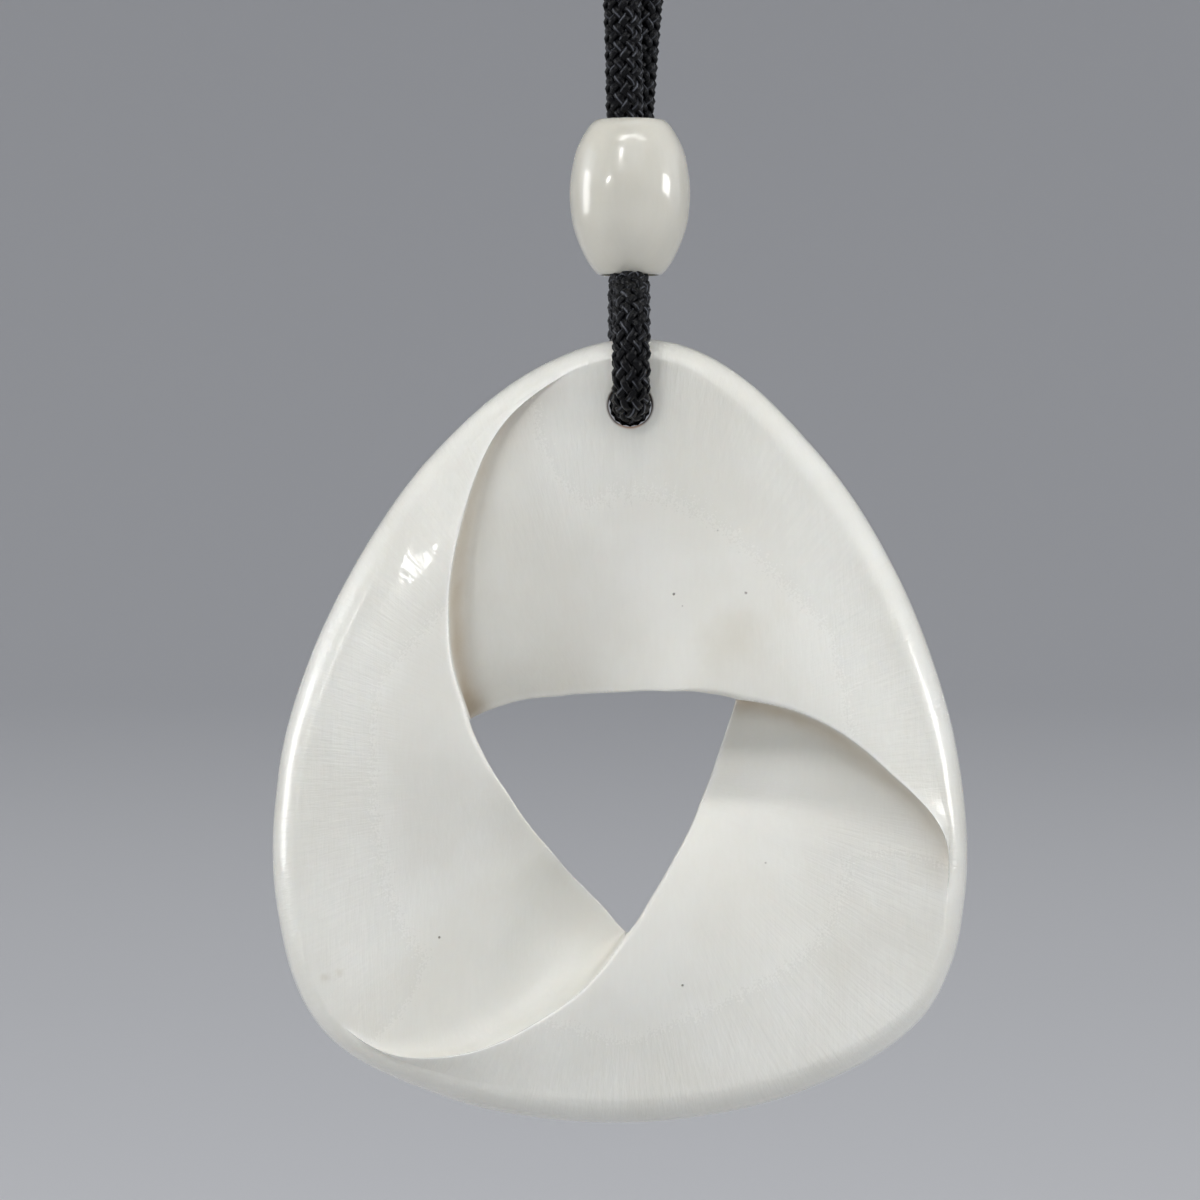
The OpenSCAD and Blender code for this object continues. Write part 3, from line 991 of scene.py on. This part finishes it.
def make_knot(tree, yarn, core):
    """The same braid wound into a barrel, its ends tucked into the middle."""
    middle = (KNOT_LOW + KNOT_HIGH) / 2
    ring = (KNOT_HIGH[2] - KNOT_LOW[2]) / 2 - CORD_RADIUS
    reach = (KNOT_HIGH[0] - KNOT_LOW[0]) / 2 - CORD_RADIUS
    share = np.linspace(0, 1, KNOT_STEPS)
    turn = share * KNOT_TURNS * math.tau
    # The coil leaves the middle and comes back to it over the first and last quarter turn
    tuck = np.clip(np.minimum(share, 1 - share) * KNOT_TURNS * 4, 0, 1)
    radius = ring * (KNOT_TUCK + (1 - KNOT_TUCK) * np.sin(tuck * math.pi / 2))
    points = np.column_stack([
        middle[0] + (2 * share - 1) * reach,
        middle[1] + radius * np.cos(turn),
        middle[2] + radius * np.sin(turn),
        np.ones(KNOT_STEPS),
    ])
    path, length = smooth_path(points, GUIDE_STEP)
    span = (0, length[-1])
    braided("knot_winding", tree, path, 0, span, CLOSE_DETAIL, ["nape_knot"], yarn, core)


# Finishes

def shader_group(name, inputs, outputs):
    return new_group(name, "ShaderNodeTree", inputs, outputs)


def mix_colours(tree, share, first, second):
    """A colour between two. A mix node has its colours at inputs 6 and 7 and at output 2."""
    node = add(tree, "ShaderNodeMix", data_type="RGBA", blend_type="MIX")
    feed(tree, node.inputs[0], share)
    feed(tree, node.inputs[6], first)
    feed(tree, node.inputs[7], second)
    return Field(tree, node.outputs[2])


def noise_at(tree, place, scale, detail=2.0, roughness=0.5):
    """Noise about 0.5, with as many waves in each unit of the place as the scale says."""
    node = add(tree, "ShaderNodeTexNoise", {
        "Vector": place, "Scale": scale, "Detail": detail, "Roughness": roughness,
    }, noise_dimensions="3D")
    return Field(tree, node.outputs[0])


def stretched(tree, place, scale):
    node = add(tree, "ShaderNodeMapping", {"Vector": place, "Scale": scale})
    return Field(tree, node.outputs[0])


def between(tree, value, low, high):
    """Rises smoothly from 0 at the low value to 1 at the high one."""
    node = add(tree, "ShaderNodeMapRange", {
        "Value": value, "From Min": low, "From Max": high,
    }, interpolation_type="SMOOTHSTEP")
    return Field(tree, node.outputs[0])


GRAIN_PORE_BROWN = (0.16, 0.12, 0.08, 1)
# How closely the sanding marks follow each other on the way round
SANDING_MARKS = 75


def bone_grain_group():
    """Cream bone with faint mottling, fine grain, scattered pores and polishing scratches."""
    number, colour = "NodeSocketFloat", "NodeSocketColor"
    tree, f, out = shader_group("bone grain", [
        ("Place", "NodeSocketVector", None),
        ("Light Tone", colour, (0.79, 0.785, 0.73, 1)),
        ("Dark Tone", colour, (0.7, 0.685, 0.615, 1)),
        ("Pores", number, 1.0),
        ("Scratches", number, 1.0),
        ("Middle", "NodeSocketVector", (0, 0, 0)),
    ], [("Color", colour), ("Roughness", number), ("Height", number)])
    place = f["Place"]
    mottle = between(tree, noise_at(tree, place, 0.16, 3.0), 0.3, 0.7)
    grain = noise_at(tree, stretched(tree, place, (5.0, 5.0, 0.7)), 1.0, 3.0)
    speckle = noise_at(tree, place, 9.0, 2.0)
    tone = mottle * 0.6 + grain * 0.3 + speckle * 0.1
    colours = mix_colours(tree, tone, f["Dark Tone"], f["Light Tone"])

    cells = add(tree, "ShaderNodeTexVoronoi", {"Vector": place, "Scale": 0.33, "Randomness": 1.0})
    split = add(tree, "ShaderNodeSeparateColor", {0: cells.outputs["Color"]})
    # Only some of the cells have a pore in them
    chosen = calc(tree, "GREATER_THAN", Field(tree, split.outputs[0]), 0.72)
    gap = Field(tree, cells.outputs["Distance"])
    pore = (1 - between(tree, gap, 0.012, 0.028)) * chosen * f["Pores"]
    colours = mix_colours(tree, pore * 0.75, colours, GRAIN_PORE_BROWN)

    # Fine sanding marks run out from the middle, so they only change on the way round it
    from_middle = vector_calc(tree, "SUBTRACT", place, f["Middle"])
    flat = vector_calc(tree, "MULTIPLY", from_middle, (1, 0, 1))
    round_way = scaled(tree, vector_calc(tree, "NORMALIZE", flat), SANDING_MARKS)
    outward = vector_calc(tree, "LENGTH", flat, result="Value")
    _, depth, _ = parts_of(tree, place)
    marks = added(tree, round_way, vector_of(tree, 0, outward * 0.5 + depth * 0.5, 0))
    sanding = noise_at(tree, marks, 1.0, 3.0, 0.6)
    cross_scratch = noise_at(tree, stretched(tree, place, (12.0, 8.0, 1.0)), 1.0, 4.0, 0.65)
    scratch = (sanding * 0.75 + cross_scratch * 0.25) * f["Scratches"]
    rough = 0.07 + 0.06 * scratch + 0.12 * speckle + 0.3 * pore
    feed(tree, out.inputs["Color"], colours)
    feed(tree, out.inputs["Roughness"], rough)
    feed(tree, out.inputs["Height"], scratch * 0.6 + grain * 0.25 - pore * 3)
    return tree


def spot_group():
    """A soft round spot at one place of the surface."""
    number = "NodeSocketFloat"
    tree, f, out = shader_group("spot", [
        ("Place", "NodeSocketVector", None),
        ("Centre", "NodeSocketVector", None),
        ("Radius", number, 0.1),
    ], [("Mask", number)])
    gap = distance(tree, f["Place"], f["Centre"])
    patch = noise_at(tree, scaled(tree, f["Place"], 1.5 / f["Radius"]), 1.0, 3.0)
    ragged = gap + (patch - 0.5) * f["Radius"] * 0.8
    feed(tree, out.inputs["Mask"], 1 - between(tree, ragged, 0, f["Radius"]))
    return tree


def millimetres(tree):
    """Object coordinates in millimetres."""
    return scaled(tree, add(tree, "ShaderNodeTexCoord").outputs["Object"], 1 / MM)


def new_material(name, values):
    """A material with its Principled shader, and plain values set on the shader's own sockets."""
    material = bpy.data.materials.new(name)
    material.use_nodes = True
    tree = material.node_tree
    shader = next(node for node in tree.nodes if node.type == "BSDF_PRINCIPLED")
    for key, value in values.items():
        shader.inputs[key].default_value = value
    return material, tree, shader


def raised(tree, shader, height, strength, depth):
    bump = add(tree, "ShaderNodeBump", {"Height": height, "Strength": strength, "Distance": depth})
    feed(tree, shader.inputs["Normal"], bump.outputs[0])


BONE_GLOSS = {
    "IOR": 1.54,
    "Coat Weight": 0.35,
    "Coat Roughness": 0.04,
    "Subsurface Weight": 0.12,
    "Subsurface Radius": (1.0, 0.75, 0.5),
    "Subsurface Scale": 1.2 * MM,
}
# Dark pores and faint stains of the pendant, in millimetres from the cord hole: x, z, radius, and
# how dark they are
PORES = [
    [5.84, -9.5, 0.11, 0.9], [4.42, -6.35, 0.08, 0.5], [2.64, -10.16, 0.07, 0.45],
    [-6.86, -14.58, 0.1, 0.7], [6.86, -23.16, 0.08, 0.55],
]
STAINS = [
    [5.33, -11.9, 2.4, 0.3], [-15.4, -28.95, 0.38, 0.3], [-14.7, -28.7, 0.32, 0.25],
    [-7.87, -15.2, 0.6, 0.3],
]
PORE_BROWN = (0.1, 0.075, 0.05, 1)
STAIN_BROWN = (0.5, 0.45, 0.33, 1)
# Painted shade, with some grime, in the recesses beside the ridges
RECESS_SHADE_BROWN = (0.42, 0.32, 0.2, 1)
# Pale tint of the crests and edges: wear, and a painted highlight
WEAR_AND_HIGHLIGHT_WHITE = (0.88, 0.87, 0.84, 1)
# The hole's wall: its upper part in the cord's shade, and its lower part
HOLE_SHADE_BLACK = (0.06, 0.035, 0.022, 1)
HOLE_BROWN = (0.45, 0.27, 0.17, 1)


def polished_bone(grain, spot):
    """The pendant's bone, with its own pores and stains, painted shade in its recesses, and pale edges
    that are partly wear, partly painted highlight.
    """
    material, tree, shader = new_material("polished_bone", BONE_GLOSS)
    place = millimetres(tree)
    hole = HOLE_AT / MM
    base = add(tree, "ShaderNodeGroup", {
        "Place": place, "Middle": tuple(hole + CENTRE_FROM_HOLE * GROW / MM),
    }, node_tree=grain)
    x, y, z = parts_of(tree, place)
    facing = vector_of(tree, x, 0, z)
    front = calc(tree, "LESS_THAN", y, float(hole[1]))

    def marked(ground, rows, tint):
        """The ground with soft spots of another colour on its front."""
        for right, up, radius, darkness in rows:
            node = add(tree, "ShaderNodeGroup", {
                "Place": facing,
                "Centre": (float(hole[0] + right), 0, float(hole[2] + up)),
                "Radius": radius,
            }, node_tree=spot)
            share = Field(tree, node.outputs[0]) * front * darkness
            ground = mix_colours(tree, share, ground, tint)
        return ground

    def mask(name):
        """A mask that the carved mesh carries."""
        return Field(tree, add(tree, "ShaderNodeAttribute", attribute_name=name).outputs["Fac"])

    colours = marked(Field(tree, base.outputs["Color"]), STAINS, STAIN_BROWN)
    colours = marked(colours, PORES, PORE_BROWN)
    # Painted shade with some grime: a brown tint in the recess beside a ridge, strongest by the upper
    # left ridge and faint by the lower one
    grime_and_shade = noise_at(tree, place, 0.7, 2.0)
    colours = mix_colours(tree, mask("recess_shade") * (0.65 + 0.5 * grime_and_shade), colours, RECESS_SHADE_BROWN)
    # Pale tint on the crests and the opening's edges, partly wear and partly painted highlight
    colours = mix_colours(tree, mask("worn") * 0.35, colours, WEAR_AND_HIGHLIGHT_WHITE)

    # The drilled wall of the hole and a narrow ring round it are browner; the upper part of the wall is
    # painted black as the cord's shade
    hole_centre = vector_of(tree, float(hole[0]), 0, float(hole[2]))
    from_hole = distance(tree, facing, hole_centre)
    hole_r = HOLE_DIAMETER / 2 / MM
    ring = 1 - between(tree, from_hole, hole_r + 0.02, hole_r + 0.16)
    under = between(tree, float(hole[2]) - z, 0.85, 1.15)
    colours = mix_colours(
        tree, ring * 0.95, colours, mix_colours(tree, under, HOLE_SHADE_BLACK, HOLE_BROWN)
    )
    feed(tree, shader.inputs["Base Color"], colours)

    # The polish is best where a buffing wheel reaches: near the rim and on the crests
    reached = (1 - between(tree, mask("inward"), 0.2, 0.75)) * (1 - mask("sheltered"))
    polish = calc(tree, "MAXIMUM", reached, mask("worn") * 0.8)
    dullness = 0.26 * (1 - polish) + 0.12 * mask("sheltered") + 0.45 * ring
    feed(tree, base.inputs["Scratches"], 0.4 + 1.6 * polish)
    feed(tree, shader.inputs["Roughness"], Field(tree, base.outputs["Roughness"]) + dullness)
    # Away from the rim and the crests the deeper sanding marks break up the gloss
    deeper = between(tree, base.outputs["Height"], 0.66, 0.8)
    strokes = deeper * between(tree, mask("inward"), 0.06, 0.16)
    coat = (0.02 + 0.48 * polish) * (1 - ring) * (1 - 0.95 * strokes)
    feed(tree, shader.inputs["Coat Weight"], coat)
    raised(tree, shader, base.outputs["Height"], 1.0, 0.04 * MM)
    return material


def bead_bone(grain):
    """The bead's bone, a little darker, with fewer pores."""
    material, tree, shader = new_material("bead_bone", BONE_GLOSS)
    base = add(tree, "ShaderNodeGroup", {
        "Place": millimetres(tree), "Pores": 0.6, "Scratches": 0.8,
        "Light Tone": (0.63, 0.61, 0.54, 1), "Dark Tone": (0.56, 0.54, 0.46, 1),
    }, node_tree=grain)
    feed(tree, shader.inputs["Base Color"], base.outputs["Color"])
    feed(tree, shader.inputs["Roughness"], base.outputs["Roughness"])
    raised(tree, shader, base.outputs["Height"], 0.2, 0.03 * MM)
    return material


# Each of the cord's two blacks is a darkest and a lightest colour
YARN_TONES = (0.001, 0.001, 0.0012, 1), (0.004, 0.004, 0.005, 1)
CORE_TONES = (0.004, 0.004, 0.004, 1), (0.01, 0.01, 0.011, 1)
# Painted highlight: the grey of the glints along the yarns
GLINT_GREY = (0.1, 0.105, 0.12, 1)


def black_yarn():
    """Black braided yarn with the fine filaments that run along it, and painted glints along the yarns.
    """
    material, tree, shader = new_material("black_yarn", {
        "IOR": 1.5,
        "Specular IOR Level": 0.14,
        "Sheen Weight": 0.02,
        "Sheen Roughness": 0.3,
    })
    along = add(tree, "ShaderNodeUVMap", uv_map="yarn_map").outputs[0]
    filaments = noise_at(tree, stretched(tree, along, (0.5, 16.0, 1.0)), 1.0, 2.0)
    wear_and_glint_patches = noise_at(tree, millimetres(tree), 1.1, 2.0)
    tone = mix_colours(tree, filaments, *YARN_TONES)
    # A painted highlight: here and there a fine grey line along each yarn stands in for the glint on
    # its filaments
    _, breadth, _ = parts_of(tree, along)
    beside = calc(tree, "ABSOLUTE", breadth - 0.2 + (filaments - 0.5) * 0.1)
    painted_glint = (1 - between(tree, beside, 0.02, 0.12)) * between(tree, wear_and_glint_patches, 0.35, 0.65)
    feed(tree, shader.inputs["Base Color"], mix_colours(tree, painted_glint, tone, GLINT_GREY))
    feed(tree, shader.inputs["Roughness"], 0.16 + 0.12 * wear_and_glint_patches + 0.1 * filaments)
    raised(tree, shader, filaments, 0.5, 0.03 * MM)
    return material


def dark_core():
    """The filling that shows between the yarns as shadow."""
    material, tree, shader = new_material("dark_core", {"Specular IOR Level": 0.2})
    strand = noise_at(tree, millimetres(tree), 6.0, 2.0)
    feed(tree, shader.inputs["Base Color"], mix_colours(tree, strand, *CORE_TONES))
    feed(tree, shader.inputs["Roughness"], 0.7 + 0.2 * strand)
    return material


# Studio

FLOOR_DROP = 28 * MM
FLOOR_RADIUS = 3.2
SWEEP_RADIUS = 1.2
FLOOR_SIDES = 96
FLOOR_RINGS = 8
SWEEP_RINGS = 15
# The first ring's radius, in shares of the floor's
FIRST_RING = 0.02


def make_floor():
    """A pale floor whose edge sweeps up all round, far outside every view."""
    flat = [(FLOOR_RADIUS * share, 0) for share in np.linspace(FIRST_RING, 1, FLOOR_RINGS)]
    sweep = [
        (FLOOR_RADIUS + SWEEP_RADIUS * math.sin(a), SWEEP_RADIUS * (1 - math.cos(a)))
        for a in np.linspace(0, math.pi / 2, SWEEP_RINGS + 1)[1:]
    ]
    profile = flat + sweep
    middle = (HOLE_AT[0], HOLE_AT[1], PENDANT_LOW[2] - FLOOR_DROP)
    points, faces = turned(profile, FLOOR_SIDES, middle, closed=False)
    # One more face fills the middle, and all of them are turned to face up
    faces.append([i * len(profile) for i in range(FLOOR_SIDES)][::-1])
    faces = [tuple(face[::-1]) for face in faces]
    material, _, _ = new_material("pale_floor", {
        "Base Color": (0.77, 0.775, 0.79, 1),
        "Roughness": 0.8,
        "Specular IOR Level": 0.2,
    })
    mesh = smooth_mesh("studio_floor", points, faces, material)
    floor = bpy.data.objects.new("studio_floor", mesh)
    bpy.context.scene.collection.objects.link(floor)


# Lamps and soft boxes: name, degrees to the right of the camera, degrees up, distance, width,
# height, lean, brightness
LAMPS = [
    ("left_box", -96, 6, 0.7, 0.4, 0.6, 0, 1.1),
    ("right_box", 96, 6, 0.7, 0.4, 0.6, 0, 0.8),
    ("left_lamp", -93, 7, 0.6, 0.18, 0.24, 0, 5.0),
    ("right_lamp", 74, 10, 0.6, 0.17, 0.15, -20, 10.0),
    ("top_lamp", -20, 36, 0.6, 0.06, 0.12, 0, 12.0),
    ("top_strip", 4, 61, 0.6, 0.5, 0.012, 0, 20.0),
    ("front_box", 0, 38, 0.6, 0.6, 0.34, 0, 1.0),
    ("streak_lamp", -43, 15, 0.6, 0.1, 0.03, 32, 24.0),
]
LAMP_WHITE = (1.0, 0.99, 0.97)
BOX_WHITE = (0.88, 0.92, 1.0)
# Brightness of the air in front, to both sides and overhead, as in a light tent
TENT_FRONT = 0.08
TENT_SIDES = 0.6
TENT_TOP = 0.3
TENT_COLOUR = (0.93, 0.95, 1.0, 1)
# Lower lamps would throw hard bright patches on the floor, so they light the pieces only
FLOOR_LIT_FROM_DEG = 12
# Four lamps above, turned away from the object, brighten the backdrop
BACKDROP_LAMPS = 4
BACKDROP_WATTS = 3
BACKDROP_SIZE = 0.8
BACKDROP_OUT = 0.3
BACKDROP_UP = 1.6
BACKDROP_TILT_DEG = 62


def hang_lamp(name, place, turn):
    """An area lamp that isn't seen itself."""
    light = bpy.data.objects.new(name, bpy.data.lights.new(name, "AREA"))
    light.location = place
    light.rotation_euler = turn
    light.visible_camera = False
    bpy.context.scene.collection.objects.link(light)
    return light


def make_lights():
    target = Vector((PENDANT_LOW + PENDANT_HIGH) / 2)
    pieces = bpy.data.collections.new("lit_pieces")
    for thing in bpy.context.scene.objects:
        if thing.type == "MESH" and thing.name != "studio_floor":
            pieces.objects.link(thing)
    for name, azimuth, elevation, far, width, height, lean, brightness in LAMPS:
        a, e = math.radians(azimuth), math.radians(elevation)
        way = Vector((math.sin(a) * math.cos(e), -math.cos(a) * math.cos(e), math.sin(e)))
        turn = way.to_track_quat("Z", "Y") @ Quaternion((0, 0, 1), math.radians(lean))
        light = hang_lamp(name, target + way * far, turn.to_euler())
        light.data.shape = "RECTANGLE"
        light.data.size, light.data.size_y = width, height
        light.data.energy = brightness * math.pi * width * height
        light.data.color = BOX_WHITE if "box" in name else LAMP_WHITE
        if elevation < FLOOR_LIT_FROM_DEG:
            light.light_linking.receiver_collection = pieces
    for i in range(BACKDROP_LAMPS):
        a = i * math.tau / BACKDROP_LAMPS
        out = Vector((BACKDROP_OUT * math.sin(a), -BACKDROP_OUT * math.cos(a), BACKDROP_UP))
        turn = (math.radians(BACKDROP_TILT_DEG), 0, a + math.pi)
        light = hang_lamp("backdrop_lamp", target + out, turn)
        light.data.size = BACKDROP_SIZE
        light.data.energy = BACKDROP_WATTS
    make_tent()


def make_tent():
    """Even light from all round, brighter from both sides and from above."""
    world = bpy.data.worlds.new("light_tent")
    world.use_nodes = True
    tree = world.node_tree
    background = next(node for node in tree.nodes if node.type == "BACKGROUND")
    place = add(tree, "ShaderNodeTexCoord").outputs["Generated"]
    right, _, up = parts_of(tree, place)
    top = calc(tree, "MAXIMUM", up, 0) ** 2
    strength = TENT_FRONT + TENT_SIDES * right ** 2 + TENT_TOP * top
    feed(tree, background.inputs["Strength"], strength)
    background.inputs["Color"].default_value = TENT_COLOUR
    bpy.context.scene.world = world


bone_grain = bone_grain_group()
soft_spot = spot_group()
braid = braid_tree()
yarn_finish, core_finish = black_yarn(), dark_core()
make_twist(polished_bone(bone_grain, soft_spot))
make_bead(bead_bone(bone_grain))
make_cord(braid, yarn_finish, core_finish)
make_knot(braid, yarn_finish, core_finish)
make_floor()
make_lights()
bpy.context.scene.view_settings.view_transform = "Standard"
